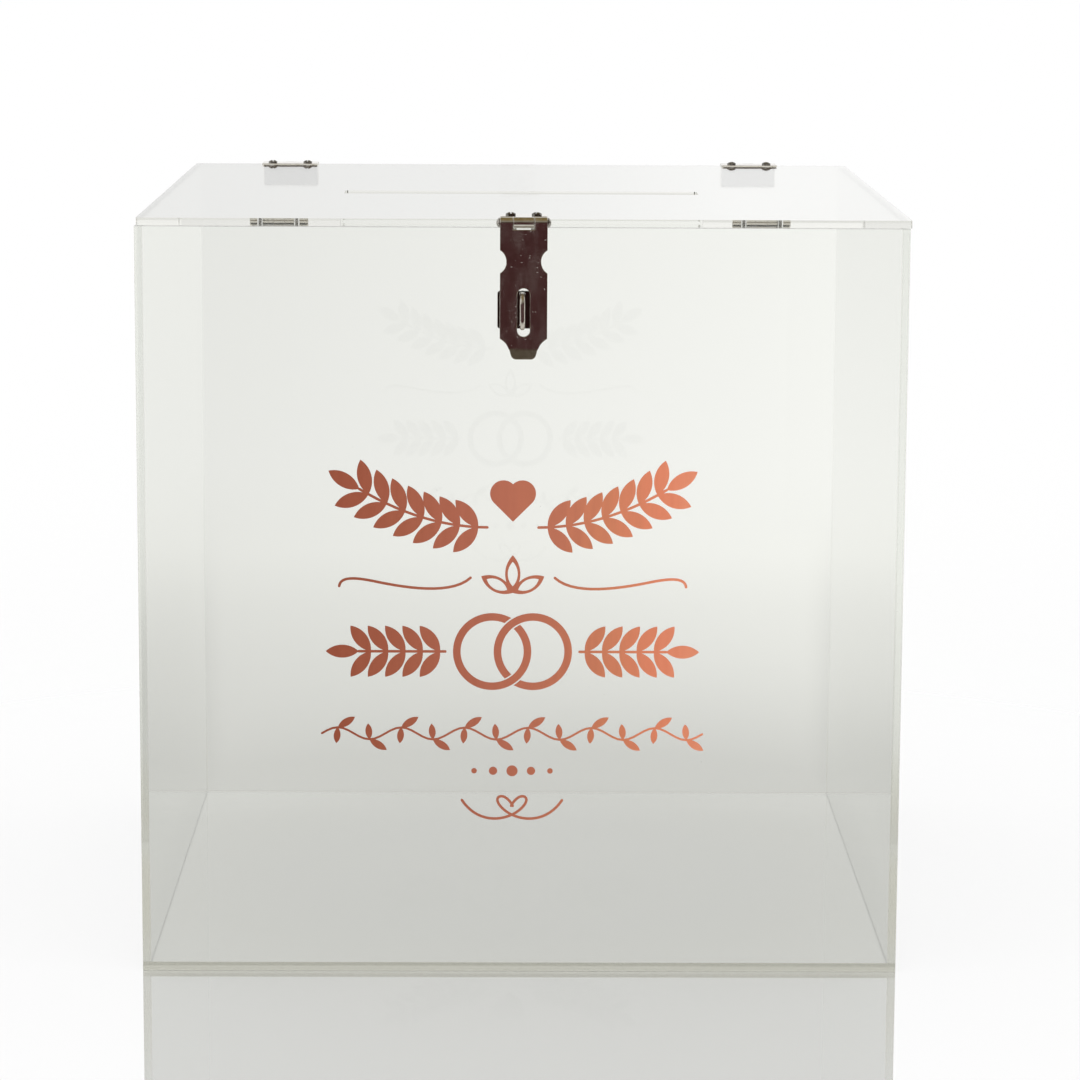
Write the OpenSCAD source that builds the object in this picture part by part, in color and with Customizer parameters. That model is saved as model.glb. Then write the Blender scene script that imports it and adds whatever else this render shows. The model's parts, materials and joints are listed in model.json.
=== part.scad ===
// Wedding card box: a clear acrylic cube with a slotted, hinged lid, a hasp and staple
// for a padlock, and a foil ornament on the front.
// Millimetres. Origin: middle of the base's underside. X right, -Y front, +Z up.

/* [Box] */
// Outside width of the walls
box_w = 300; // [240:1:420]
// Outside depth, front panel to back panel
box_d = 300; // [240:1:420]
// Height from the table to the top of the closed lid
box_h = 300; // [240:1:420]
// Thickness of the acrylic sheet
sheet_t = 3; // [2.5:0.1:4]
// Cement line between two glued sheets
glue_t = 0.1; // [0.05:0.01:0.2]
// Gap between the closed lid and the tops of the walls
lid_gap = 0.3; // [0.1:0.05:0.8]
// Sideways offset of the lid over the walls
lid_offset = 0.7; // [-1:0.1:1]
// Radius of the lid's four corners
lid_corner_r = 1; // [0.5:0.1:3]

/* [Card slot] */
// Length of the slot, across the lid
slot_w = 148; // [100:1:180]
// Width of the slot, front to back
slot_d = 16; // [8:0.5:30]
// Middle of the slot behind the lid's middle (negative: in front of it)
slot_y = -18; // [-60:1:60]
// Radius of the slot's corners
slot_corner_r = 1.5; // [0.5:0.1:3]

/* [Back hinges] */
// Width of a hinge along its pin
hinge_w = 25.5; // [20:0.5:40]
// Middle of a hinge in from the side of the box
hinge_inset = 44.25; // [30:0.25:60]
// Reach of a leaf from the pin's axis to its free edge
hinge_reach = 12.5; // [11:0.5:18]
// Thickness of a leaf
hinge_t = 0.7; // [0.5:0.05:1]
// Radius of the hinge pin
hinge_pin_r = 0.6; // [0.5:0.05:1]
// Number of knuckles along a hinge
hinge_knuckles = 5; // [3:2:7]
// Distance of a leaf's screws from the pin's axis
hinge_hole_y = 7.5; // [6.5:0.1:8]
// Distance of a leaf's screws from the hinge's middle
hinge_hole_x = 8; // [6:0.25:9]
// Radius of a leaf's outer corners
hinge_corner_r = 1.5; // [0.5:0.1:2.5]
// Gap between the barrel and the edge of the lid
barrel_gap = 0.2; // [0.1:0.05:0.5]
// Space between a knuckle and the other leaf's plate
hinge_cut_gap = 0.15; // [0.1:0.05:0.4]
// Foam pad's edge in from the leaf's edge
pad_inset = 0.5; // [0.2:0.1:1.5]

/* [Hasp] */
// Middle of the hasp to the right of the box's middle
hasp_x = 0.45; // [-2:0.05:2]
// Width of the hasp
hasp_w = 18.4; // [17:0.1:22]
// Thickness of the hasp's sheet metal
hasp_t = 1; // [0.8:0.05:1.3]
// Radius of the hasp pin
hasp_pin_r = 1.15; // [0.9:0.05:1.4]
// Width of the middle knuckle, on the lid leaf
hasp_knuckle_w = 8.1; // [6:0.1:10]
// Reach of the lid leaf behind the pin's axis
hasp_leaf_reach = 15; // [13:0.5:20]
// Lid leaf's screws behind the pin's axis
hasp_hole_y = 8.4; // [7.8:0.1:10]
// Lid leaf's screws from the hasp's middle
hasp_hole_x = 5.05; // [4:0.05:6]
// Space between a knuckle and the other part's plate
hasp_cut_gap = 0.35; // [0.15:0.05:0.5]
// Length of the strap from the pin's axis to its tip
strap_l = 52.9; // [50:0.1:56]
// Distance from the axis to the strap's shoulders
shoulder_s = 44.8; // [44:0.1:46]
// Half the width of the strap's tip
tip_half = 4.95; // [4:0.05:6]
// Radius of the hollow curve from a shoulder to the tip
tip_hollow_r = 8.46; // [8:0.02:9]
// Radius of the tip's two corners
tip_corner_r = 2.2; // [1:0.1:3]
// How far the tip is bent outward, degrees
tip_bend = 10; // [0:1:20]
// Length of the bent part of the tip
tip_bend_l = 4.6; // [3:0.1:6]
// Radius of the two round notches in the strap's sides
notch_r = 5.2; // [4:0.1:6]
// Depth of those notches
notch_depth = 2.45; // [1:0.05:3]
// Distance from the axis to the middle of the notches
notch_s = 14.95; // [13:0.05:17]
// Width of the strap's slot
strap_slot_w = 4.9; // [4:0.1:6]
// Length of the strap's slot
strap_slot_l = 18.7; // [17:0.1:19]
// Distance from the axis to the middle of the strap's slot
strap_slot_s = 34.55; // [34:0.05:35]
// Length of the pin's domed heads
pin_head_h = 1.3; // [0.8:0.1:2]
// Radius of the pin's domed heads
pin_head_r = 2.1; // [1.6:0.05:2.2]

/* [Staple] */
// Middle of the staple to the right of the box's middle
staple_x = 0; // [-0.5:0.05:1]
// Width of the staple plate
staple_plate_w = 19.3; // [18:0.1:24]
// Height of the staple plate
staple_plate_h = 14.6; // [14.5:0.1:20]
// Thickness of the staple plate
staple_plate_t = 1; // [0.8:0.05:1.3]
// Radius of the staple plate's corners
staple_corner_r = 1; // [0.5:0.1:2]
// Radius of the staple's wire
wire_r = 1.05; // [0.8:0.05:1.2]
// Height of the loop, outside
loop_h = 14.3; // [12:0.1:14.4]
// How far the loop stands out of the front panel
loop_out = 12.1; // [11:0.1:14]
// Radius of the loop's bends, on the wire's centre line
loop_bend_r = 3; // [1.5:0.1:4]
// How far the middle of the loop sits above the middle of the strap's slot
staple_rise = 0.7; // [0:0.05:1]
// Staple plate's screws from its middle
staple_hole_x = 6.4; // [5:0.1:7]

/* [Fixings] */
// Radius of a screw's shank
screw_r = 1; // [0.9:0.05:1.1]
// Radius of a screw's head
head_r = 2; // [1.8:0.05:2.2]
// Height of a pan head
pan_h = 1.3; // [0.9:0.1:1.3]
// Height of a pan head's straight rim
pan_rim_h = 0.6; // [0.3:0.05:0.7]
// Radius of the countersink of a hinge's holes
sink_r = 1.6; // [1.4:0.05:1.7]
// Nut size across its flats
nut_af = 4; // [3.8:0.1:4.5]
// Thickness of a nut
nut_h = 1.6; // [1.2:0.1:2]
// How far a screw's end stands out of its nut
screw_end = 0.7; // [0.3:0.1:1.5]
// Clearance around a screw in metal
metal_play = 0.1; // [0.05:0.05:0.2]
// Clearance around a screw in the acrylic
sheet_play = 0.2; // [0.1:0.05:0.4]
// Width of the driver slot in a screw's head
drive_w = 0.6; // [0.3:0.05:0.7]
// Depth of the driver slot
drive_d = 0.6; // [0.2:0.05:0.6]

/* [Fits] */
// Radial play of a pin in its knuckles
pin_play = 0.05; // [0.03:0.01:0.1]
// Gap between neighbouring knuckles
knuckle_gap = 0.1; // [0.05:0.05:0.3]
// Seating gap between metal and acrylic
seat_gap = 0.05; // [0.02:0.01:0.1]
// Play of a nut's thread on its screw
thread_play = 0.05; // [0.03:0.01:0.1]

/* [Foil ornament] */
// Thickness of the foil
foil_t = 0.15; // [0.1:0.01:0.3]
// Middle of the ornament to the right of the panel's middle
foil_x = -3.3; // [-10:0.1:10]
// Middle of the ornament below the panel's middle
foil_drop = 15.4; // [5:0.1:20]
// Width of the thin strokes
stroke_w = 1.05; // [0.8:0.05:1.5]
// Length of a garland leaf
garland_leaf_l = 14; // [10:0.5:16]
// Width of a garland leaf
garland_leaf_w = 5.6; // [4:0.1:7]
// Length of a sprig leaf beside the rings
sprig_leaf_l = 13; // [9:0.5:15]
// Width of a sprig leaf beside the rings
sprig_leaf_w = 5.2; // [3.5:0.1:6.5]
// Length of a vine leaf
vine_leaf_l = 8; // [5:0.5:9]
// Width of a vine leaf
vine_leaf_w = 3; // [2:0.1:4]
// Outer radius of a wedding ring
ring_r = 15.4; // [12:0.1:16]
// Width of a ring's band
ring_band = 3; // [2:0.1:4]
// Distance between the two rings' centres
ring_pitch = 16; // [12:0.5:20]
// Side of the square inside the small heart
heart_side = 10.5; // [6:0.5:12]
// Half the width over both swashes
swash_half = 68; // [60:0.5:72]
// Length of the fan's middle leaf, between the swashes
fan_leaf_l = 15; // [11:0.5:16]
// Width of the fan's leaves
fan_leaf_w = 6; // [4:0.1:7]
// Half the width over the heart knot
knot_half = 19.8; // [15:0.1:24]
// Radius of the middle dot
dot_r = 2.2; // [2:0.1:3]
// Distance between neighbouring dots
dot_pitch = 7.5; // [6:0.5:9]

/* [Hidden] */

// Cuts run this far past the faces they open
over = 1;
// Sides given to round things
fine = 48;
// Steps along one curve of a stroke
curve_steps = 14;
// Steps round the end of a stroke
cap_steps = 6;

// Walls
wall_h = box_h - sheet_t - lid_gap;
front_y = -box_d / 2;
back_y = box_d / 2;
side_d = box_d - 2 * (sheet_t + glue_t);
lid_under = box_h - sheet_t;

// Back hinges: the knuckles lie just behind the lid's back edge
hinge_bore_r = hinge_pin_r + pin_play;
hinge_barrel_r = hinge_bore_r + hinge_t;
hinge_cut = hinge_barrel_r + hinge_cut_gap;
hinge_y = back_y + barrel_gap + hinge_barrel_r;
hinge_z = box_h + seat_gap + hinge_t - hinge_barrel_r;
hinge_x = box_w / 2 - hinge_inset;
pad_t = hinge_y + hinge_barrel_r - hinge_t - back_y;
hinge_screw_y = hinge_y - hinge_hole_y;
hinge_seat = box_h + seat_gap;

// Hasp: the knuckles lie just in front of the lid's front edge
hasp_bore_r = hasp_pin_r + pin_play;
hasp_barrel_r = hasp_bore_r + hasp_t;
hasp_cut = hasp_barrel_r + hasp_cut_gap;
hasp_y = front_y - barrel_gap - hasp_barrel_r;
hasp_z = box_h + seat_gap + hasp_t - hasp_barrel_r;
hasp_screw_y = hasp_y + hasp_hole_y;
hasp_leaf_top = box_h + seat_gap + hasp_t;
// The hollow curves end level with the sides of the tip
tip_hollow_x = tip_half + tip_hollow_r;
tip_hollow_s = shoulder_s + sqrt(pow(tip_hollow_r, 2) - pow(tip_hollow_x - hasp_w / 2, 2));
bend_s = strap_l - tip_bend_l;
bend_half = tip_hollow_x - sqrt(pow(tip_hollow_r, 2) - pow(tip_hollow_s - bend_s, 2));
notch_x = hasp_w / 2 - notch_depth + notch_r;

// Staple, level with the strap's slot
staple_z = hasp_z - strap_slot_s + staple_rise;
plate_back_y = front_y - seat_gap;
plate_front_y = plate_back_y - staple_plate_t;
leg_z = loop_h / 2 - wire_r;
loop_front_y = front_y - loop_out + wire_r;

// Fixings
clear_r = screw_r + metal_play;
sheet_hole_r = screw_r + sheet_play;
hinge_grip = hinge_t + seat_gap + sheet_t;
hasp_grip = hasp_t + seat_gap + sheet_t;
staple_grip = staple_plate_t + seat_gap + sheet_t;

// Foil ornament, row by row above its own middle
foil_z = wall_h / 2 - foil_drop;
garland_z = 54;
swash_z = 24.5;
ring_z = -3;
vine_z = -36;
dots_z = -51;
knot_z = -70.5;
garland_leaves = 7;
garland_start = 10;
garland_run = 50;
garland_lift = 15;
sprig_leaves = 5;
sprig_run = 34;
vine_half = 75;
vine_wave = 2.4;
vine_turns = 6;
sprig_gap = 3;
garland_spread = 48;
sprig_spread = 52;
fan_spread = 62;
fan_drop = 4;
// A dot loses this much of its radius with each place from the middle
dot_step = 0.55;
// The vine's upper and lower leaves lie at these angles to it
vine_up = 32;
vine_down = -95;
// One swash from its outer end to the fan, in parts of swash_half
swash_shape = [[[1, -0.022], [0.993, 0.029], [0.926, 0.032], [0.809, 0.009]],
    [[0.809, 0.009], [0.618, -0.032], [0.353, -0.074], [0.243, 0.029]]];
// Half of the heart knot, in parts of knot_half
knot_shape = [[[-0.015, 0.268], [0.051, 0.404], [0.177, 0.505], [0.263, 0.449]],
    [[0.263, 0.449], [0.354, 0.379], [0.202, 0.182], [0, 0.086]],
    [[0, 0.086], [-0.354, -0.081], [-0.758, 0.010], [-1, 0.384]]];
// Turns of the driver slots away from the front, left to right: back hinges, then hasp
hinge_turns = [[8, -4], [70, 100]];
hasp_turns = [5, -12];

PALE = [0.93, 0.94, 0.92, 0.35];
STEEL = [0.78, 0.78, 0.76];
DARK_STEEL = [0.45, 0.45, 0.44];
FOAM = [0.90, 0.90, 0.88];
ROSE = [0.80, 0.47, 0.36];

function bez(p, t) = pow(1 - t, 3) * p[0] + 3 * t * pow(1 - t, 2) * p[1]
    + 3 * t * t * (1 - t) * p[2] + t * t * t * p[3];
// Points of several curves joined end to end, each shared end once
function chain(list) = [for (k = [0:len(list) - 1])
    for (i = [k == 0 ? 0 : 1:curve_steps]) bez(list[k], i / curve_steps)];
function ahead(c, i) = c[min(i + 1, len(c) - 1)] - c[max(i - 1, 0)];
function across(c, i) = let (d = ahead(c, i)) [-d[1], d[0]] / norm(d);
function side(c, w) = [for (i = [0:len(c) - 1]) c[i] + across(c, i) * w / 2];
function backwards(c) = [for (i = [len(c) - 1:-1:0]) c[i]];

// Points of a half circle of width w round p, from the left of direction d to its right
function cap(p, d, w) = let (a = atan2(d[1], d[0]))
    [for (k = [1:cap_steps - 1]) p + w / 2 * [cos(a + 90 - 180 * k / cap_steps),
        sin(a + 90 - 180 * k / cap_steps)]];

// A line of even width with round ends along the points c
module stroke(c, w = stroke_w) {
    n = len(c) - 1;
    linear_extrude(foil_t) polygon(concat(side(c, w), cap(c[n], ahead(c, n), w),
        backwards(side(c, -w)), cap(c[0], -ahead(c, 0), w)));
}

// A pointed leaf from the origin along +X, bounded by two arcs
module leaf2d(l, w) {
    r = (l * l + w * w) / (4 * w);
    intersection() {
        translate([l / 2, r - w / 2]) circle(r = r, $fn = fine);
        translate([l / 2, w / 2 - r]) circle(r = r, $fn = fine);
    }
}

module leaf(l, w) {
    linear_extrude(foil_t) leaf2d(l, w);
}

// The same leaf as an outline
module leaf_line(l, w) {
    linear_extrude(foil_t) difference() {
        leaf2d(l, w);
        translate([l * stroke_w / w, 0]) leaf2d(l - 2 * l * stroke_w / w, w - 2 * stroke_w);
    }
}

// A heart on its point, from a square and two half circles
module heart(s) {
    linear_extrude(foil_t) rotate(45) square(s);
    for (m = [-1, 1]) {
        translate([m * s / (2 * sqrt(2)), 3 * s / (2 * sqrt(2)), 0])
            cylinder(r = s / 2, h = foil_t, $fn = fine);
    }
}

// Puts flat shapes on the front panel, z above the ornament's middle
module foil(z) {
    color(ROSE) translate([foil_x, front_y, foil_z + z]) rotate([90, 0, 0]) children();
}

module mirrored_x() {
    children();
    mirror([1, 0, 0]) children();
}

// A plate with round corners, its middle at the origin
module round_plate(w, d, t, r) {
    linear_extrude(t) {
        square([w - 2 * r, d], center = true);
        square([w, d - 2 * r], center = true);
        for (x = [-1, 1], y = [-1, 1]) {
            translate([x * (w / 2 - r), y * (d / 2 - r)]) circle(r = r, $fn = fine);
        }
    }
}

// A cap of a sphere, r wide and h high
module dome(r, h) {
    ball = (r * r + h * h) / (2 * h);
    intersection() {
        translate([0, 0, h - ball]) sphere(r = ball, $fn = fine);
        cylinder(r = r, h = h, $fn = fine);
    }
}

// Screw with a slotted pan head, its slot at the angle turn from Y: the head's underside
// is at z = 0, the shank points down
module pan_screw(grip, turn) {
    difference() {
        union() {
            cylinder(r = head_r, h = pan_rim_h, $fn = fine);
            translate([0, 0, pan_rim_h]) dome(head_r, pan_h - pan_rim_h);
            translate([0, 0, -grip - nut_h - seat_gap - screw_end])
                cylinder(r = screw_r, h = grip + nut_h + seat_gap + screw_end, $fn = fine);
        }
        rotate(turn) translate([-drive_w / 2, -head_r - over, pan_h - drive_d])
            cube([drive_w, 2 * (head_r + over), drive_d + over]);
    }
}

// Hexagon nut with its top face at z = 0
module nut() {
    translate([0, 0, -nut_h]) difference() {
        cylinder(r = nut_af / sqrt(3), h = nut_h, $fn = 6);
        translate([0, 0, -over]) cylinder(r = screw_r + thread_play, h = nut_h + 2 * over, $fn = fine);
    }
}

// Knuckle of a hinge from x = a to x = b, pin along X, with the strip that joins it to its plate
module knuckle(a, b, barrel, bore, t, reach) {
    difference() {
        union() {
            translate([a, 0, 0]) rotate([0, 90, 0]) cylinder(r = barrel, h = b - a, $fn = fine);
            translate([a, 0, barrel - t]) cube([b - a, reach, t]);
        }
        translate([a - over, 0, 0]) rotate([0, 90, 0])
            cylinder(r = bore, h = b - a + 2 * over, $fn = fine);
    }
}

// Leaf of a back hinge: pin along X at the origin, plate towards +Y, outer face up;
// first is 0 or 1, the number of its first knuckle
module hinge_leaf(first) {
    step = hinge_w / hinge_knuckles;
    difference() {
        union() {
            for (k = [first:2:hinge_knuckles - 1]) {
                knuckle(-hinge_w / 2 + k * step + (k == 0 ? 0 : knuckle_gap / 2),
                    -hinge_w / 2 + (k + 1) * step - (k == hinge_knuckles - 1 ? 0 : knuckle_gap / 2),
                    hinge_barrel_r, hinge_bore_r, hinge_t, hinge_cut + hinge_cut_gap);
            }
            translate([0, 0, hinge_barrel_r - hinge_t]) difference() {
                translate([0, hinge_reach / 2, 0])
                    round_plate(hinge_w, hinge_reach, hinge_t, hinge_corner_r);
                translate([-hinge_w, -over, -over])
                    cube([2 * hinge_w, hinge_cut + over, hinge_t + 2 * over]);
            }
        }
        for (x = [-hinge_hole_x, hinge_hole_x]) {
            translate([x, hinge_hole_y, 0]) {
                translate([0, 0, hinge_barrel_r - hinge_t - over])
                    cylinder(r = clear_r, h = hinge_t + 2 * over, $fn = fine);
                translate([0, 0, hinge_barrel_r - (sink_r - clear_r)])
                    cylinder(r1 = clear_r, r2 = sink_r, h = sink_r - clear_r, $fn = fine);
            }
        }
    }
}

module at_hinge(m) {
    translate([m * hinge_x, hinge_y, hinge_z]) children();
}

module panel_slab(w, d, h) {
    translate([-w / 2, -d / 2, 0]) cube([w, d, h]);
}

// Panels

module front_panel() {
    color(PALE) difference() {
        translate([0, front_y + sheet_t / 2, 0]) panel_slab(box_w, sheet_t, wall_h);
        for (x = [-staple_hole_x, staple_hole_x]) {
            translate([staple_x + x, front_y - over, staple_z]) rotate([-90, 0, 0])
                cylinder(r = sheet_hole_r, h = sheet_t + 2 * over, $fn = fine);
        }
    }
}

module back_panel() {
    color(PALE) translate([0, back_y - sheet_t / 2, 0]) panel_slab(box_w, sheet_t, wall_h);
}

// The base fills the plan between the front and back panels
module base_panel() {
    color(PALE) panel_slab(box_w, side_d, sheet_t);
}

// A side panel stands on the base; m is -1 for the left one and 1 for the right one
module side_panel(m) {
    color(PALE) translate([m * (box_w - sheet_t) / 2, 0, sheet_t + glue_t])
        panel_slab(sheet_t, side_d, wall_h - sheet_t - glue_t);
}

module left_panel() {
    side_panel(-1);
}

module right_panel() {
    side_panel(1);
}

module lid_panel() {
    color(PALE) difference() {
        translate([lid_offset, 0, lid_under]) round_plate(box_w, box_d, sheet_t, lid_corner_r);
        translate([0, slot_y, lid_under - over])
            round_plate(slot_w, slot_d, sheet_t + 2 * over, slot_corner_r);
        for (m = [-1, 1], x = [-hinge_hole_x, hinge_hole_x]) {
            translate([m * hinge_x + x, hinge_screw_y, lid_under - over])
                cylinder(r = sheet_hole_r, h = sheet_t + 2 * over, $fn = fine);
        }
        for (x = [-hasp_hole_x, hasp_hole_x]) {
            translate([hasp_x + x, hasp_screw_y, lid_under - over])
                cylinder(r = sheet_hole_r, h = sheet_t + 2 * over, $fn = fine);
        }
    }
}

// Back hinges; m is -1 for the left one and 1 for the right one

// The lid leaf lies on the lid and carries the odd knuckles
module hinge_lid_leaf(m) {
    color(STEEL) at_hinge(m) mirror([0, 1, 0]) hinge_leaf(1);
}

// The back leaf hangs behind the back panel and carries the even knuckles
module hinge_back_leaf(m) {
    color(STEEL) at_hinge(m) rotate([-90, 0, 0]) hinge_leaf(0);
}

module hinge_pin(m) {
    color(STEEL) at_hinge(m) rotate([0, 90, 0])
        cylinder(r = hinge_pin_r, h = hinge_w, center = true, $fn = fine);
}

// Foam tape between the back leaf's plate and the back panel
module hinge_pad(m) {
    pad_top = hinge_cut + pad_inset;
    pad_l = hinge_reach - pad_top - pad_inset;
    color(FOAM) translate([m * hinge_x - hinge_w / 2 + pad_inset, back_y, hinge_z - pad_top - pad_l])
        cube([hinge_w - 2 * pad_inset, pad_t, pad_l]);
}

module hinge_screws(m) {
    for (k = [0, 1]) {
        color(DARK_STEEL) translate([m * hinge_x + (2 * k - 1) * hinge_hole_x, hinge_screw_y,
            hinge_seat + hinge_t]) pan_screw(hinge_grip, hinge_turns[(m + 1) / 2][k]);
    }
}

module hinge_nuts(m) {
    for (x = [-hinge_hole_x, hinge_hole_x]) {
        color(DARK_STEEL) translate([m * hinge_x + x, hinge_screw_y, lid_under - seat_gap]) nut();
    }
}

module left_hinge_lid_leaf() { hinge_lid_leaf(-1); }
module left_hinge_back_leaf() { hinge_back_leaf(-1); }
module left_hinge_pin() { hinge_pin(-1); }
module left_hinge_pad() { hinge_pad(-1); }
module left_hinge_screws() { hinge_screws(-1); }
module left_hinge_nuts() { hinge_nuts(-1); }
module right_hinge_lid_leaf() { hinge_lid_leaf(1); }
module right_hinge_back_leaf() { hinge_back_leaf(1); }
module right_hinge_pin() { hinge_pin(1); }
module right_hinge_pad() { hinge_pad(1); }
module right_hinge_screws() { hinge_screws(1); }
module right_hinge_nuts() { hinge_nuts(1); }

// Hasp

module hasp_leaf() {
    plate_l = hasp_leaf_reach - hasp_cut;
    color(STEEL) translate([hasp_x, hasp_y, hasp_z]) difference() {
        union() {
            knuckle(-hasp_knuckle_w / 2, hasp_knuckle_w / 2, hasp_barrel_r, hasp_bore_r, hasp_t,
                hasp_cut + hasp_cut_gap);
            translate([0, hasp_cut + plate_l / 2, hasp_barrel_r - hasp_t])
                round_plate(hasp_w, plate_l, hasp_t, hinge_corner_r);
        }
        for (x = [-hasp_hole_x, hasp_hole_x]) {
            translate([x, hasp_hole_y, 0])
                cylinder(r = clear_r, h = hasp_barrel_r + over, $fn = fine);
        }
    }
}

// Outline of the strap: x across, y along it from the pin's axis
module strap_outline() {
    difference() {
        translate([-hasp_w / 2, hasp_cut]) square([hasp_w, strap_l - hasp_cut]);
        mirrored_x() {
            translate([notch_x, notch_s]) circle(r = notch_r, $fn = fine);
            translate([tip_hollow_x, tip_hollow_s]) circle(r = tip_hollow_r, $fn = fine);
            translate([tip_half, tip_hollow_s]) square([hasp_w, strap_l]);
            translate([tip_half - tip_corner_r, strap_l - tip_corner_r]) difference() {
                square(tip_corner_r + over);
                circle(r = tip_corner_r, $fn = fine);
            }
        }
        translate([0, strap_slot_s]) {
            square([strap_slot_w, strap_slot_l - strap_slot_w], center = true);
            for (s = [-1, 1]) {
                translate([0, s * (strap_slot_l - strap_slot_w) / 2])
                    circle(r = strap_slot_w / 2, $fn = fine);
            }
        }
    }
}

// The strap hangs from two outer knuckles; its last bit bends away from the box
module hasp_strap() {
    gap_x = hasp_knuckle_w / 2 + knuckle_gap;
    mid = hasp_barrel_r - hasp_t / 2;
    color(STEEL) translate([hasp_x, hasp_y, hasp_z]) mirror([0, 1, 0]) rotate([-90, 0, 0]) {
        mirrored_x() knuckle(gap_x, hasp_w / 2, hasp_barrel_r, hasp_bore_r, hasp_t,
            hasp_cut + hasp_cut_gap);
        translate([0, 0, hasp_barrel_r - hasp_t]) linear_extrude(hasp_t) intersection() {
            strap_outline();
            translate([-hasp_w, 0]) square([2 * hasp_w, bend_s]);
        }
        translate([-bend_half, bend_s, mid]) rotate([0, 90, 0])
            cylinder(r = hasp_t / 2, h = 2 * bend_half, $fn = fine);
        translate([0, bend_s, mid]) rotate([tip_bend, 0, 0]) translate([0, -bend_s, -hasp_t / 2])
            linear_extrude(hasp_t) intersection() {
                strap_outline();
                translate([-hasp_w, bend_s]) square([2 * hasp_w, strap_l]);
            }
    }
}

// Hasp pin with a domed head at each end
module hasp_pin() {
    half = hasp_w / 2 + knuckle_gap;
    color(STEEL) translate([hasp_x, hasp_y, hasp_z]) rotate([0, 90, 0]) {
        cylinder(r = hasp_pin_r, h = 2 * half, center = true, $fn = fine);
        for (m = [0, 1]) {
            mirror([0, 0, m]) translate([0, 0, half]) dome(pin_head_r, pin_head_h);
        }
    }
}

module hasp_screws() {
    for (k = [0, 1]) {
        color(DARK_STEEL) translate([hasp_x + (2 * k - 1) * hasp_hole_x, hasp_screw_y, hasp_leaf_top])
            pan_screw(hasp_grip, hasp_turns[k]);
    }
}

module hasp_nuts() {
    for (x = [-hasp_hole_x, hasp_hole_x]) {
        color(DARK_STEEL) translate([hasp_x + x, hasp_screw_y, lid_under - seat_gap]) nut();
    }
}

// Staple

module staple_plate() {
    color(STEEL) translate([staple_x, plate_back_y, staple_z]) rotate([90, 0, 0]) difference() {
        round_plate(staple_plate_w, staple_plate_h, staple_plate_t, staple_corner_r);
        for (z = [-leg_z, leg_z]) {
            translate([0, z, -over])
                cylinder(r = wire_r + pin_play, h = staple_plate_t + 2 * over, $fn = fine);
        }
        for (x = [-staple_hole_x, staple_hole_x]) {
            translate([x, 0, -over]) cylinder(r = clear_r, h = staple_plate_t + 2 * over, $fn = fine);
        }
    }
}

// Bent wire: two legs, two bends and the front bar
module staple_loop() {
    bend_y = loop_front_y + loop_bend_r;
    color(STEEL) translate([staple_x, 0, staple_z]) {
        for (m = [0, 1]) {
            mirror([0, 0, m]) {
                translate([0, plate_back_y, leg_z]) rotate([90, 0, 0])
                    cylinder(r = wire_r, h = plate_back_y - bend_y, $fn = fine);
                translate([0, bend_y, leg_z - loop_bend_r]) intersection() {
                    rotate([0, 90, 0]) rotate_extrude($fn = fine)
                        translate([loop_bend_r, 0]) circle(r = wire_r, $fn = fine);
                    translate([-2 * wire_r, -2 * loop_bend_r, 0])
                        cube([4 * wire_r, 2 * loop_bend_r, 2 * loop_bend_r]);
                }
            }
        }
        translate([0, loop_front_y, loop_bend_r - leg_z])
            cylinder(r = wire_r, h = 2 * (leg_z - loop_bend_r), $fn = fine);
    }
}

module staple_screws() {
    for (x = [-staple_hole_x, staple_hole_x]) {
        color(DARK_STEEL) translate([staple_x + x, plate_front_y, staple_z]) rotate([90, 0, 0])
            pan_screw(staple_grip, 0);
    }
}

module staple_nuts() {
    for (x = [-staple_hole_x, staple_hole_x]) {
        color(DARK_STEEL) translate([staple_x + x, front_y + sheet_t + seat_gap, staple_z])
            rotate([90, 0, 0]) nut();
    }
}

// Foil ornament

// Two leafy branches that rise outward from a small heart
module foil_garland() {
    function branch(u) = [garland_start + garland_run * u, garland_lift * pow(u, 2) - garland_lift / 2];
    foil(garland_z) {
        translate([0, -heart_side / 2, 0]) heart(heart_side);
        mirrored_x() {
            stroke([for (i = [0:curve_steps]) branch(i / curve_steps)]);
            for (k = [0:garland_leaves - 1], s = [-1, 1]) {
                u = (k + 0.5) / garland_leaves;
                translate(branch(u)) rotate(atan2(2 * garland_lift * u, garland_run)
                    + s * garland_spread)
                    leaf(garland_leaf_l, garland_leaf_w);
            }
            translate(branch(1)) rotate(atan2(2 * garland_lift, garland_run))
                leaf(garland_leaf_l, garland_leaf_w);
        }
    }
}

// Two swashes that run outward from a fan of outlined leaves
module foil_swashes() {
    foil(swash_z) {
        mirrored_x() stroke(chain(swash_half * swash_shape));
        for (k = [-1:1]) {
            translate([0, -fan_drop]) rotate(90 + k * fan_spread)
                leaf_line(fan_leaf_l - abs(k), fan_leaf_w);
        }
    }
}

// One ring of the pair, as a band that is foil_t thick; grow widens it all round
module band(m, grow) {
    translate([m * ring_pitch / 2, 0, -grow]) difference() {
        cylinder(r = ring_r + grow, h = foil_t + 2 * grow, $fn = fine);
        translate([0, 0, -over])
            cylinder(r = ring_r - ring_band - grow, h = foil_t + 2 * (grow + over), $fn = fine);
    }
}

// Ring m passes under the other one on the side s (1: above, -1: below)
module linked_band(m, s) {
    difference() {
        band(m, 0);
        intersection() {
            band(-m, stroke_w / 2);
            translate([-ring_r, s > 0 ? 0 : -2 * ring_r, -over]) cube(2 * ring_r);
        }
    }
}

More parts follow.
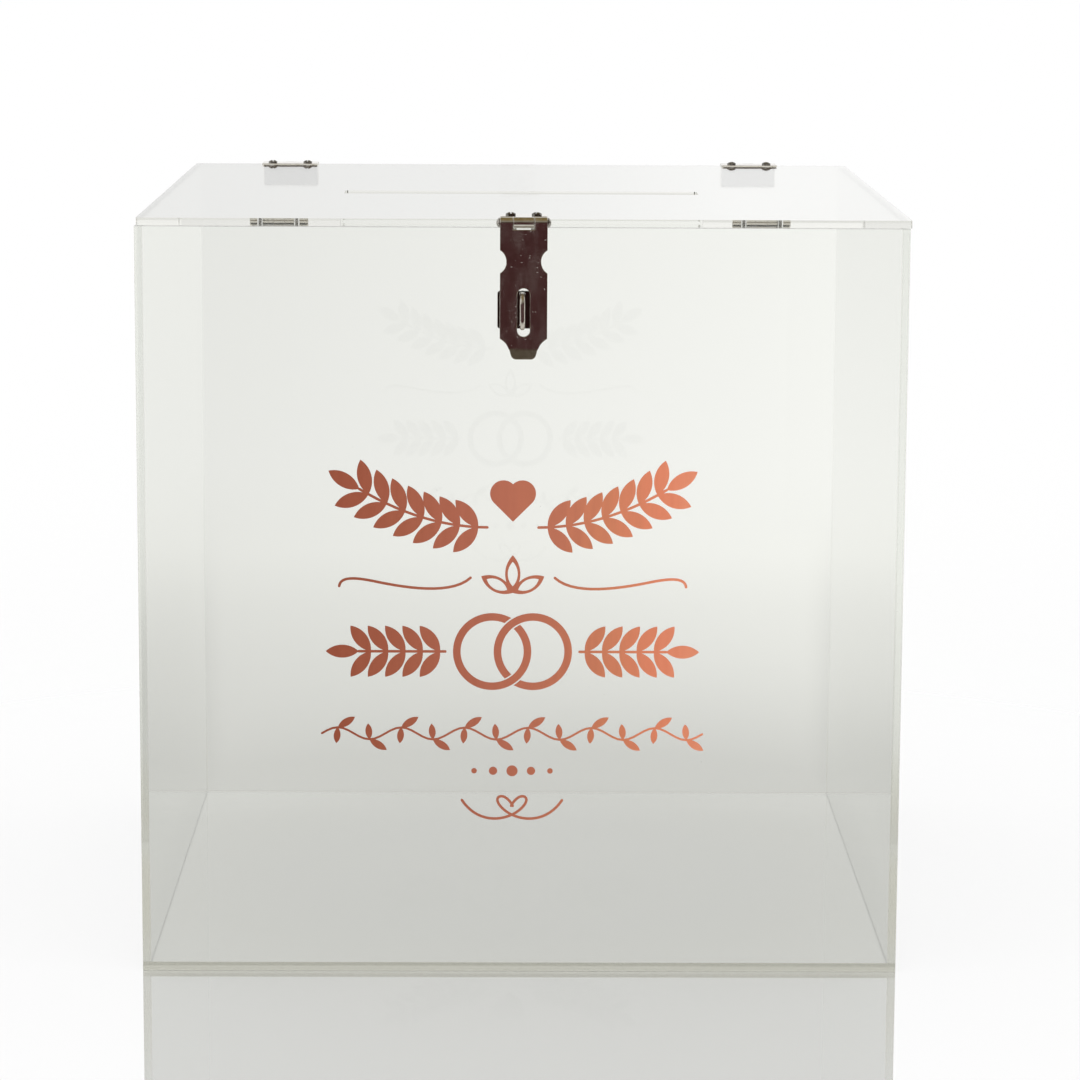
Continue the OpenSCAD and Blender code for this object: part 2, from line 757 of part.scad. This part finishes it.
// Two linked rings between two leafy sprigs
module foil_rings() {
    sprig_x = ring_pitch / 2 + ring_r + sprig_gap;
    foil(ring_z) {
        linked_band(-1, 1);
        linked_band(1, -1);
        mirrored_x() {
            stroke([[sprig_x, 0], [sprig_x + sprig_run / 2, 0], [sprig_x + sprig_run, 0]]);
            for (k = [0:sprig_leaves - 1], s = [-1, 1]) {
                translate([sprig_x + sprig_run * (k + 0.3) / sprig_leaves, 0]) rotate(s * sprig_spread)
                    leaf(sprig_leaf_l, sprig_leaf_w);
            }
            translate([sprig_x + sprig_run, 0]) leaf(sprig_leaf_l, sprig_leaf_w);
        }
    }
}

// A waving stem with a leaf at each crest
module foil_vine() {
    function wave(x) = vine_wave * sin(180 * vine_turns * x / vine_half);
    steps = 12 * vine_turns;
    foil(vine_z) {
        stroke([for (i = [0:steps]) let (x = -vine_half + 2 * vine_half * i / steps) [x, wave(x)]],
            stroke_w * 0.8);
        for (k = [0:2 * vine_turns - 1]) {
            x = -vine_half + vine_half * (k + 0.5) / vine_turns;
            s = sign(wave(x));
            translate([x, wave(x)]) rotate(s * vine_up) leaf(vine_leaf_l, vine_leaf_w);
            translate([x, wave(x)]) rotate(s * vine_down)
                leaf(vine_leaf_l * 0.8, vine_leaf_w * 0.9);
        }
    }
}

// Five dots, the largest in the middle
module foil_dots() {
    foil(dots_z) {
        for (k = [-2:2]) {
            translate([k * dot_pitch, 0, 0])
                cylinder(r = dot_r - dot_step * abs(k), h = foil_t, $fn = fine);
        }
    }
}

// A heart drawn by two crossing strokes that run out to the sides
module foil_heart_knot() {
    foil(knot_z) mirrored_x() stroke(chain(knot_half * knot_shape));
}

front_panel();
back_panel();
left_panel();
right_panel();
base_panel();
lid_panel();
left_hinge_lid_leaf();
left_hinge_back_leaf();
left_hinge_pin();
left_hinge_pad();
left_hinge_screws();
left_hinge_nuts();
right_hinge_lid_leaf();
right_hinge_back_leaf();
right_hinge_pin();
right_hinge_pad();
right_hinge_screws();
right_hinge_nuts();
hasp_leaf();
hasp_strap();
hasp_pin();
hasp_screws();
hasp_nuts();
staple_plate();
staple_loop();
staple_screws();
staple_nuts();
foil_garland();
foil_swashes();
foil_rings();
foil_vine();
foil_dots();
foil_heart_knot();
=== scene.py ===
"""Wedding card box: clear acrylic cube, slotted lid on two back hinges, hasp and staple,
rose-gold foil ornament. Metres, +Z up, the front faces -Y."""
import json
import math

import bmesh
import bpy
import numpy as np
from mathutils import Matrix, Vector


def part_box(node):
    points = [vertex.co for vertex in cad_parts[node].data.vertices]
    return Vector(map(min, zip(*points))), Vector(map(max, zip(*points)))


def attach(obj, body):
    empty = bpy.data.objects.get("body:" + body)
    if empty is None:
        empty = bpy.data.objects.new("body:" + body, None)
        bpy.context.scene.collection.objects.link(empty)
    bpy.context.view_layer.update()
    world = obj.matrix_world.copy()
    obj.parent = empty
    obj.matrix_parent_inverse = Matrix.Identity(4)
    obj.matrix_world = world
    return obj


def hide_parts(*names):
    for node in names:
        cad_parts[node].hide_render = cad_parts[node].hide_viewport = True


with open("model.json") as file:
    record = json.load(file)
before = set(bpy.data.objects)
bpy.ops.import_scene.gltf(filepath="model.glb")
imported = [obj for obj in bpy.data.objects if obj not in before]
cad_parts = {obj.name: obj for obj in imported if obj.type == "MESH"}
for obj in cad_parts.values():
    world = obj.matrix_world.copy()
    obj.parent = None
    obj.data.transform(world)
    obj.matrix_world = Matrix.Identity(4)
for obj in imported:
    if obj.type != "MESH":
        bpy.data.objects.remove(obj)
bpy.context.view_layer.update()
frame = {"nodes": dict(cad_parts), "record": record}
NODES = frame["nodes"]
SLOTS = {part["node"]: part["material_slot"] for part in frame["record"]["subparts"]}
BODIES = {node: body for body, members in frame["record"]["behaviour"]["bodies"].items()
          for node in members}
MM = 0.001

# half widths of the box inside and outside its walls, depth of the joints between the side
# walls and the back and front ones, and the base's thickness
side_lo, side_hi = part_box("right_panel")
WALL_IN, WALL_OUT = side_lo[0], side_hi[0]
JOINT_Y = (side_hi[1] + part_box("back_panel")[0][1]) / 2
BASE_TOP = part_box("base_panel")[1][2]


# ---------------------------------------------------------------- colours and nodes

def lin(hexa):
    """sRGB hex to linear RGBA: c/12.92 below 0.04045, ((c + 0.055)/1.055)^2.4 above."""
    rgb = [int(hexa[i:i + 2], 16) / 255 for i in (1, 3, 5)]
    return [c / 12.92 if c <= 0.04045 else ((c + 0.055) / 1.055) ** 2.4 for c in rgb] + [1.0]


def add(tree, kind, *values, output=0, **named):
    """Adds a node and gives back its output. Values go into its inputs in order. A name with
    a capital is an input, any other a setting. Sockets are linked, all else is set."""
    node = tree.nodes.new("ShaderNode" + kind)
    inputs = list(enumerate(values))
    for name, value in named.items():
        if name[0].isupper():
            inputs.append((name.replace("_", " "), value))
        else:
            setattr(node, name, value)
    for key, value in inputs:
        if isinstance(value, bpy.types.NodeSocket):
            tree.links.new(value, node.inputs[key])
        else:
            node.inputs[key].default_value = value
    return node.outputs[output] if len(node.outputs) else None


def smooth(tree, value, low, high):
    """0 at low, 1 at high, smooth between; low may be the larger."""
    return add(tree, "MapRange", value, low, high, 0.0, 1.0,
               interpolation_type="SMOOTHSTEP")


def tones(tree, value, *stops):
    """Colour by value; stops are (value, hex), rising."""
    low, high = stops[0][0], stops[-1][0]
    colour = add(tree, "ValToRGB", add(tree, "MapRange", value, low, high, 0.0, 1.0))
    elements = colour.node.color_ramp.elements
    while len(elements) < len(stops):
        elements.new(1.0)
    for element, (place, hexa) in zip(elements, stops):
        element.position = (place - low) / (high - low)
        element.color = lin(hexa)
    return colour


def material(name):
    """A material with an empty node tree, and the tree."""
    mat = bpy.data.materials.new(name)
    mat.use_nodes = True
    mat.node_tree.nodes.clear()
    return mat, mat.node_tree


# ---------------------------------------------------------------- materials

def clear_acrylic():
    """Cast PMMA sheet: index 1.49, polished faces, a faint grey-green body, a few dust
    specks lying on it, and a little yellow cement in its joints."""
    mat, t = material("cast_acrylic_sheet")
    place = add(t, "TexCoord", output="Object")
    # dust specks about 0.3 mm across and 12 mm apart, in patches
    cells = add(t, "TexVoronoi", Vector=place, Scale=85.0)
    patch = add(t, "TexNoise", Vector=place, Scale=9.0, Detail=2.0)
    speck = add(t, "Math", smooth(t, cells, 0.022, 0.012), smooth(t, patch, 0.52, 0.66),
                operation="MULTIPLY")
    clear = add(t, "Math", 1.0, add(t, "Math", speck, 0.55, operation="MULTIPLY"),
                operation="SUBTRACT")
    # the ends of the sides and the base are cemented to the front and back panels; the
    # cement is most yellow low down, where it ran
    across = add(t, "Math", add(t, "SeparateXYZ", place, output="X"), operation="ABSOLUTE")
    depth = add(t, "Math", add(t, "SeparateXYZ", place, output="Y"), operation="ABSOLUTE")
    height = add(t, "SeparateXYZ", place, output="Z")
    beside = add(t, "Math", across, WALL_IN - 0.2 * MM, operation="GREATER_THAN")
    below = add(t, "Math", height, BASE_TOP + 0.2 * MM, operation="LESS_THAN")
    end = add(t, "Math", beside, below, operation="MAXIMUM")
    plane = add(t, "Math", depth, JOINT_Y, 0.25 * MM, operation="COMPARE")
    cement = tones(t, height, (0.0, "#F4F4EF"), (0.004, "#F3F3EE"), (0.015, "#F3F2EB"),
                   (0.032, "#F7F7F2"), (0.05, "#FCFDFC"))
    tint = add(t, "Mix", data_type="RGBA", output="Result", A=lin("#FCFDFC"), B=cement,
               Factor=add(t, "Math", plane, end, operation="MULTIPLY"))
    sheet = add(t, "BsdfPrincipled", Base_Color=tint, Roughness=0.0, IOR=1.49,
                Transmission_Weight=clear)
    body = add(t, "VolumeAbsorption", Color=lin("#E5E5DB"), Density=0.35)
    add(t, "OutputMaterial", Surface=sheet, Volume=body)
    return mat


def scratches(tree, place, turn):
    """Nicks along one direction, 0.15 mm wide and 0.7 mm long, faint to bright, in one cell
    of three."""
    turned = add(tree, "Mapping", vector_type="TEXTURE", Vector=place,
                 Rotation=(0.0, turn, 0.0), Scale=(0.9 * MM, 0.9 * MM, 4.0 * MM))
    cells = add(tree, "TexVoronoi", Vector=turned, Scale=1.0).node.outputs
    lot = add(tree, "SeparateColor", cells["Color"])
    return add(tree, "Math", smooth(tree, cells["Distance"], 0.13, 0.06),
               smooth(tree, lot, 0.65, 1.0), operation="MULTIPLY")


def nickel(name, low, high, matt_share):
    """Nickel plate over pressed steel: nearly mirror smooth, with the orange peel of the
    pressing, cloudy finger marks and a few light scratches. The tone wanders from low to
    high; matt_share is how much the marks and scratches scatter."""
    mat, t = material(name)
    place = add(t, "TexCoord", output="Object")
    # orange peel of about 2.5 mm
    peel = add(t, "TexNoise", Vector=place, Scale=420.0, Detail=2.0)
    # cloudy marks, 4 mm wide and 12 mm tall
    drawn = add(t, "Mapping", Vector=place, Scale=(250.0, 250.0, 85.0))
    haze = smooth(t, add(t, "TexNoise", Vector=drawn, Scale=1.0, Detail=3.0), 0.38, 0.72)
    # nicks in three directions
    worn = add(t, "Math", scratches(t, place, 0.7), scratches(t, place, -0.5),
               operation="MAXIMUM")
    worn = add(t, "Math", worn, scratches(t, place, 1.6), operation="MAXIMUM")
    rough = add(t, "MapRange", peel, 0.3, 0.7, 0.06, 0.12)
    rough = add(t, "Math", worn, 0.3, rough, operation="MULTIPLY_ADD", use_clamp=True)
    bump = add(t, "Bump", Strength=0.25, Distance=0.03 * MM, Height=peel)
    # the haze and the scratches scatter light as a matt surface does
    matt = add(t, "Math", haze, 0.05 * matt_share, operation="MULTIPLY")
    matt = add(t, "Math", worn, 0.7 * matt_share, matt, operation="MULTIPLY_ADD")
    plate = add(t, "BsdfPrincipled", Base_Color=tones(t, peel, (0.3, low), (0.7, high)),
                Metallic=add(t, "Math", 1.0, matt, operation="SUBTRACT"), Roughness=rough,
                Normal=bump)
    add(t, "OutputMaterial", Surface=plate)
    return mat


def zinc():
    """Zinc-plated screw and nut steel: duller and greyer than the nickel, fine grained."""
    mat, t = material("zinc_plated_steel")
    grain = add(t, "TexNoise", Vector=add(t, "TexCoord", output="Object"), Scale=1800.0,
                Detail=3.0)
    plate = add(t, "BsdfPrincipled", Metallic=1.0,
                Base_Color=tones(t, grain, (0.3, "#7A7773"), (0.7, "#94918C")),
                Roughness=add(t, "MapRange", grain, 0.3, 0.7, 0.12, 0.2))
    add(t, "OutputMaterial", Surface=plate)
    return mat


def foam_tape():
    """White closed-cell polyethylene foam: matt, with cells of about 0.4 mm."""
    mat, t = material("white_foam_tape")
    cells = add(t, "TexVoronoi", Vector=add(t, "TexCoord", output="Object"), Scale=2500.0)
    foam = add(t, "BsdfPrincipled", Roughness=0.85,
               Base_Color=tones(t, cells, (0.0, "#D6D7D2"), (0.8, "#EEEFEA")),
               Normal=add(t, "Bump", Strength=0.4, Distance=0.1 * MM, Height=cells))
    add(t, "OutputMaterial", Surface=foam)
    return mat


def rose_foil():
    """Rose-gold metallised vinyl: deep copper on the left running to pale coral on the right,
    with a faint vertical grain. The colour is a lacquer on the face, so the adhesive side
    shows the bare aluminium."""
    mat, t = material("rose_gold_vinyl_film")
    place = add(t, "TexCoord", output="Object")
    # grain of the film, in streaks 2.4 mm wide
    drawn = add(t, "Mapping", Vector=place, Scale=(420.0, 420.0, 30.0))
    streaks = add(t, "TexNoise", Vector=drawn, Scale=1.0, Detail=2.0)
    wander = add(t, "Math", streaks, 0.5, operation="SUBTRACT")
    across = add(t, "Math", wander, 22.0 * MM, add(t, "SeparateXYZ", place, output="X"),
                 operation="MULTIPLY_ADD")
    lacquer = tones(t, across, (-0.080, "#A4553C"), (-0.045, "#B4654B"), (-0.012, "#C4735A"),
                    (0.015, "#CF7C5F"), (0.034, "#E08A66"), (0.054, "#F3916E"),
                    (0.075, "#FB9F7C"))
    facing = add(t, "SeparateXYZ", add(t, "TexCoord", output="Normal"), output="Y")
    bare = smooth(t, facing, 0.4, 0.6)
    colour = add(t, "Mix", data_type="RGBA", output="Result", Factor=bare, A=lacquer,
                 B=lin("#F5F6F6"))
    film = add(t, "BsdfPrincipled", Base_Color=colour, Roughness=0.42, Metallic=bare, IOR=1.3)
    add(t, "OutputMaterial", Surface=film)
    return mat


MATERIALS = {"clear_acrylic": clear_acrylic(),
             "nickel_plated_steel": nickel("bright_nickel_plate", "#CFC9BE", "#DEDAD2", 1.0),
             "fixing_steel": zinc(), "foam_tape": foam_tape(), "rose_foil": rose_foil()}
# the same plating, dull on the pin; on the staple's plate painted nearly black, a painted
# shade standing in for the shadow that the strap casts on it
SHADED_PLATE_AND_DULL_PIN = {"staple_plate": nickel("tarnished_nickel_plate", "#6A645C", "#7A746A", 0.3),
             "hasp_pin": nickel("dull_nickel_plate", "#95908A", "#A8A39C", 0.5)}


# ---------------------------------------------------------------- dressing the nodes

# millimetres along Y by which a piece's face that lies on the acrylic is moved off it
LIFTS = {"rose_foil": -0.02, "foam_tape": 0.02}
# millimetres: width of the bevel, and the distance within which points are merged
BEVELS = {"clear_acrylic": (0.06, 0.001), "nickel_plated_steel": (0.2, 0.03),
          "fixing_steel": (0.06, 0.03), "foam_tape": (0.2, 0.001), "rose_foil": (0.0, 0.001)}
# pieces whose outlines hold short edges, where a clamped bevel would shrink to nothing
FREE_BEVELS = ("hasp_strap", "hasp_leaf")
# millimetres: an edge that meets one shorter than this isn't bevelled
SHORT_STEP = 0.065
BEVEL_ANGLE, FLAT_ANGLE, SHARP_ANGLE = (math.radians(a) for a in (40, 0.3, 28))


def merge_and_weigh(mesh, merge):
    """Points nearer than merge become one, flat faces become whole, and the sharp edges get
    the weights that the bevel goes by."""
    bm = bmesh.new()
    bm.from_mesh(mesh)
    bmesh.ops.remove_doubles(bm, verts=bm.verts, dist=merge * MM)
    bmesh.ops.dissolve_limit(bm, angle_limit=FLAT_ANGLE, verts=bm.verts, edges=bm.edges,
                             delimit={"NORMAL"})
    weight = bm.edges.layers.float.new("bevel_weight_edge")
    for edge in bm.edges:
        if edge.is_manifold and edge.calc_face_angle() > BEVEL_ANGLE:
            steps = [near.calc_length() for corner in edge.verts for near in corner.link_edges]
            edge[weight] = 1.0 if min(steps) > SHORT_STEP * MM else 0.0
    bm.to_mesh(mesh)
    bm.free()


def move_off(mesh, lift):
    """Moves the face that lies on the acrylic by lift along Y. The film of air keeps it from
    coinciding with the sheet's own face."""
    place = np.empty(len(mesh.vertices) * 3)
    mesh.vertices.foreach_get("co", place)
    place = place.reshape(-1, 3)
    face = place[:, 1].max() if lift < 0 else place[:, 1].min()
    place[:, 1] += np.where(abs(place[:, 1] - face) < 0.01 * MM, lift * MM, 0.0)
    mesh.vertices.foreach_set("co", place.ravel())


def dress(node):
    """A merged copy of the node's mesh, its sharp edges eased by a bevel. The flat faces
    lead the normals, so that a sheet stays a true plane up to its edges."""
    slot = SLOTS[node]
    bevel, merge = BEVELS[slot]
    mesh = NODES[node].data.copy()
    piece = bpy.data.objects.new(node + ".dressed", mesh)
    bpy.context.scene.collection.objects.link(piece)
    merge_and_weigh(mesh, merge)
    if slot in LIFTS:
        move_off(mesh, LIFTS[slot])
    mesh.materials.clear()
    mesh.materials.append(SHADED_PLATE_AND_DULL_PIN.get(node, MATERIALS[slot]))
    mesh.shade_smooth()
    mesh.set_sharp_from_angle(angle=SHARP_ANGLE)
    if bevel:
        eased = piece.modifiers.new("eased edges", "BEVEL")
        eased.width = bevel * MM
        eased.segments = 2
        eased.limit_method = "WEIGHT"
        eased.use_clamp_overlap = node not in FREE_BEVELS
    normals = piece.modifiers.new("flat faces lead", "WEIGHTED_NORMAL")
    normals.mode = "FACE_AREA"
    normals.weight = 100
    normals.keep_sharp = True
    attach(piece, BODIES[node])
    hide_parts(node)


for node in sorted(NODES):
    dress(node)


# ---------------------------------------------------------------- stage

def table_through_acrylic(t, place):
    """What shows of the table through the sheets, as emission: a painted shade, grey by the
    box, paler further off.
    """
    x = add(t, "SeparateXYZ", place, output="X")
    y = add(t, "SeparateXYZ", place, output="Y")
    across = add(t, "Math", x, operation="ABSOLUTE")
    far = add(t, "VectorMath", place, operation="LENGTH", output="Value")
    # painted shade of the box on the table: grey close by, paler further off
    reach = add(t, "Math", add(t, "Math", far, 0.1, operation="MAXIMUM"), 10.0,
                operation="LOGARITHM")
    grey = tones(t, reach, (-1.0, "#C8C7C4"), (-0.85, "#CAC9C5"), (-0.72, "#CECDC9"),
                 (-0.6, "#CFCECA"), (-0.42, "#DAD9D5"), (-0.18, "#E6E5E1"),
                 (-0.07, "#EEEDE9"), (0.1, "#EFEEEB"), (0.5, "#EEEDEA"), (1.1, "#EAE9E6"))
    # brighter to the right, as from a window on that side, but not close to the box
    side = add(t, "Math", x, add(t, "Math", far, 1.6, operation="ADD"), operation="DIVIDE")
    window = add(t, "Math", add(t, "MapRange", side, -0.09, 0.09, -0.044, 0.121),
                 smooth(t, far, 0.2, 0.55), operation="MULTIPLY")
    # soft shade beside the walls, most of all 0.4 m to 0.5 m out
    outer = smooth(t, add(t, "Math", side, operation="ABSOLUTE"), 0.076, 0.09)
    ring = add(t, "Math", smooth(t, far, 0.14, 0.36), smooth(t, far, 1.1, 0.5),
               operation="MULTIPLY")
    beside = add(t, "Math", outer, ring, operation="MULTIPLY")
    # contact shade on the strip that the walls stand on, and on the 15 mm outside them
    square = add(t, "Math", across, add(t, "Math", y, operation="ABSOLUTE"),
                 operation="MAXIMUM")
    under = add(t, "Math", smooth(t, square, WALL_IN - 0.8 * MM, WALL_IN + 0.2 * MM),
                smooth(t, square, WALL_OUT + 1.0 * MM, WALL_OUT), operation="MULTIPLY")
    close = add(t, "Math", smooth(t, square, WALL_OUT - 1.5 * MM, WALL_OUT),
                smooth(t, square, WALL_OUT + 16.0 * MM, WALL_OUT + 1.0 * MM),
                operation="MULTIPLY")
    # painted light: a little brighter just inside the back wall, most of all in the corners
    inside = add(t, "Math", smooth(t, y, 0.085, 0.142),
                 smooth(t, square, WALL_IN + 0.5 * MM, WALL_IN - 0.5 * MM),
                 operation="MULTIPLY")
    corner = add(t, "Math", smooth(t, across, 0.03, 0.13), 0.05, 0.02,
                 operation="MULTIPLY_ADD")
    level = add(t, "Math", 1.0, window, operation="ADD")
    for part, share in ((beside, -0.22), (under, -0.3), (close, -0.17), (inside, corner)):
        level = add(t, "Math", part, share, level, operation="MULTIPLY_ADD")
    return add(t, "Emission", Color=grey, Strength=level)


def floor():
    """Large disc just under the box: white to the camera with a mirror gloss near the box."""
    radius, spokes = 14.0, 96
    angles = np.linspace(0, 2 * np.pi, spokes, endpoint=False)
    verts = np.zeros((spokes + 1, 3))
    verts[1:, 0] = radius * np.cos(angles)
    verts[1:, 1] = radius * np.sin(angles)
    verts[:, 2] = -0.03 * MM
    faces = [(0, i + 1, (i + 1) % spokes + 1) for i in range(spokes)]
    mesh = bpy.data.meshes.new("floor")
    mesh.from_pydata(verts.tolist(), [], faces)
    obj = bpy.data.objects.new("floor", mesh)
    bpy.context.scene.collection.objects.link(obj)
    mat, t = material("white_gloss_table")
    place = add(t, "TexCoord", output="Object")
    # what satin metal shows: a dark warm room in front, the table near the box
    y = add(t, "SeparateXYZ", place, output="Y")
    room = add(t, "Mix", data_type="RGBA", output="Result", A=lin("#DADAD6"),
               B=lin("#4B2F30"), Factor=smooth(t, y, -0.35, -0.8))
    # what the camera sees
    far = add(t, "VectorMath", place, operation="LENGTH", output="Value")
    share = add(t, "Math", smooth(t, far, 0.9, 0.35), 0.82, operation="MULTIPLY")
    seen = add(t, "MixShader", share, add(t, "BsdfDiffuse", Color=(1, 1, 1, 1)),
               add(t, "BsdfGlossy", Color=(1, 1, 1, 1), Roughness=0.0))
    # reflections in acrylic are singular rays, those in satin metal aren't
    satin = add(t, "Math", add(t, "LightPath", output="Is Glossy Ray"),
                add(t, "LightPath", output="Is Singular Ray"), operation="SUBTRACT",
                use_clamp=True)
    first = add(t, "MixShader", satin, seen, add(t, "Emission", Color=room, Strength=1.0))
    last = add(t, "MixShader", add(t, "LightPath", output="Is Transmission Ray"), first,
               table_through_acrylic(t, place))
    add(t, "OutputMaterial", Surface=last)
    mesh.materials.append(mat)


def surroundings():
    """World: white to the camera; a soft pale room to the acrylic; for satin metal the
    same room with a dark warm front."""
    world = bpy.data.worlds.new("soft_room")
    bpy.context.scene.world = world
    world.use_nodes = True
    t = world.node_tree
    t.nodes.clear()
    aim = add(t, "TexCoord", output="Generated")
    x, y, z = (add(t, "SeparateXYZ", aim, output=axis) for axis in "XYZ")
    white = lin("#FFFFFF")
    # what shows through the sheets
    through = tones(t, z, (0.0, "#E9E8E4"), (0.1, "#E4E3DF"), (0.26, "#D3D2CF"),
                    (0.32, "#D0CFCD"), (0.5, "#E9E8E4"), (1.0, "#EDECE8"))
    # what polished faces reflect
    low = tones(t, x, (-0.1, "#EDEDED"), (0.0, "#F2F2F2"), (0.06, "#FFFFFF"))
    polished = add(t, "Mix", data_type="RGBA", output="Result", A=low, B=white,
                   Factor=smooth(t, z, 0.1, 0.15))
    # what satin metal reflects; the pale room reaches further round on the left
    front = tones(t, z, (0.0, "#493231"), (0.1, "#4F3E38"), (0.22, "#574E43"),
                  (0.3, "#6E685C"), (0.42, "#908B7F"), (0.62, "#8E887A"),
                  (0.85, "#8A7A58"), (1.0, "#857450"))
    rear = tones(t, z, (0.0, "#FFFFFF"), (0.45, "#FFFFFF"), (0.7, "#B2AFA8"),
                 (0.85, "#8C7C5C"), (1.0, "#857450"))
    turned = add(t, "Math", add(t, "Math", x, 0.5, operation="MULTIPLY"), y,
                 operation="SUBTRACT")
    satin = add(t, "Mix", data_type="RGBA", output="Result", A=rear, B=front,
                Factor=smooth(t, turned, 0.0, 0.35))
    # each kind of ray takes the place of the ones before it
    colour = white
    for ray, seen in (("Is Glossy Ray", satin), ("Is Singular Ray", polished),
                      ("Is Transmission Ray", through), ("Is Camera Ray", white)):
        colour = add(t, "Mix", data_type="RGBA", output="Result", A=colour, B=seen,
                     Factor=add(t, "LightPath", output=ray))
    add(t, "OutputWorld", Surface=add(t, "Background", Color=colour, Strength=1.0))


floor()
surroundings()


# ---------------------------------------------------------------- camera

PITCH, YAW, ROLL = (math.radians(a) for a in (9.611, 0.572, 0.292))
PLACE = (-0.00746, -1.62871, 0.42491)
LENS, SENSOR = 127.775, 36.0


def camera():
    """A long lens in front of the box, looking a little down."""
    ahead = Vector((math.sin(YAW) * math.cos(PITCH), math.cos(YAW) * math.cos(PITCH),
                    -math.sin(PITCH)))
    level = Vector((math.cos(YAW), -math.sin(YAW), 0.0))
    upright = level.cross(ahead)
    right = math.cos(ROLL) * level + math.sin(ROLL) * upright
    up = -math.sin(ROLL) * level + math.cos(ROLL) * upright
    data = bpy.data.cameras.new("camera")
    data.lens, data.sensor_width = LENS, SENSOR
    data.clip_start, data.clip_end = 0.05, 60.0
    obj = bpy.data.objects.new("camera", data)
    bpy.context.scene.collection.objects.link(obj)
    turn = Matrix((right, up, -ahead)).transposed().to_4x4()
    obj.matrix_world = Matrix.Translation(PLACE) @ turn
    bpy.context.scene.camera = obj


camera()
scene = bpy.context.scene
scene.view_settings.view_transform = "Standard"
# paths inside the sheets are long: many reflections before they leave an edge
scene.cycles.max_bounces = 72
scene.cycles.transmission_bounces = 64
scene.cycles.glossy_bounces = 64
scene.cycles.diffuse_bounces = 4
scene.cycles.transparent_max_bounces = 16
